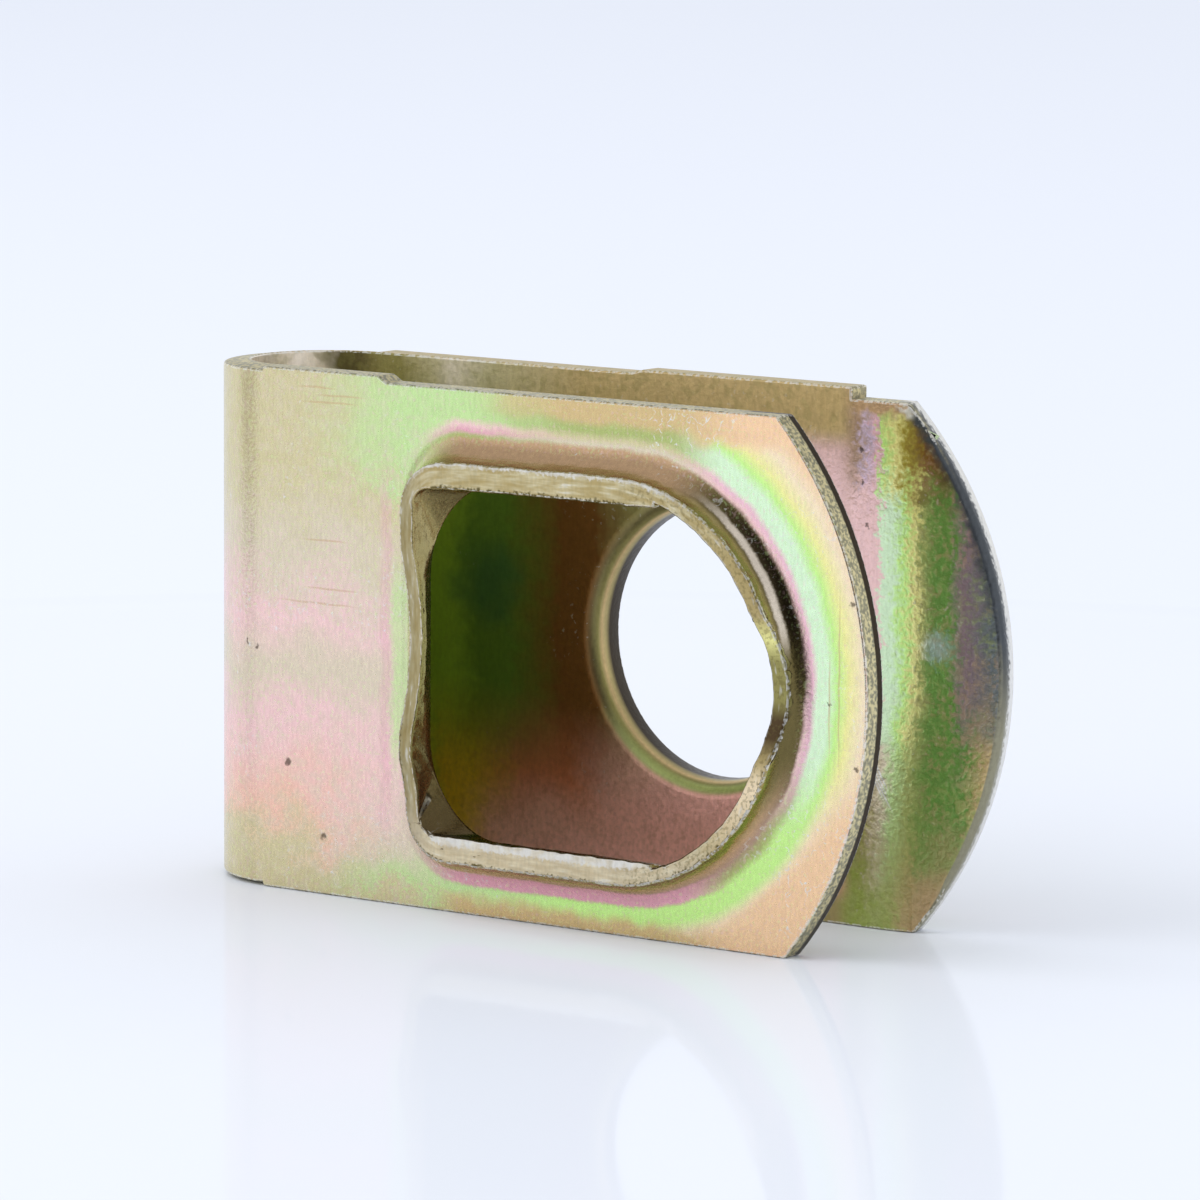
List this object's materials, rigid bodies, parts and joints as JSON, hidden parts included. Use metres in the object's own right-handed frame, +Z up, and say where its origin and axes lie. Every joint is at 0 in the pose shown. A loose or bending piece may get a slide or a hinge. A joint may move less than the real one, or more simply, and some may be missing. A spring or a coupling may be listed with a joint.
{
  "type": "lock tab",
  "caption": "Folded sheet clip with a drawn collar opening in one leg, a round hole in the other leg and a flared tip, for holding a nut or bush over a bolt.",
  "frame": {"origin": "on the base plane under the middle of the overall box", "axes": "+X from the bend towards the free ends, +Y from the near leg to the far leg along the hole, +Z up from the long edges it stands on"},
  "size_m": [0.0466, 0.015, 0.0288],
  "materials": {
    "plated_steel": "yellow zinc plating, satin, with green and pink tints"
  },
  "bodies": {
    "root": {"lock_tab": "plated_steel"}
  },
  "joints": []
}
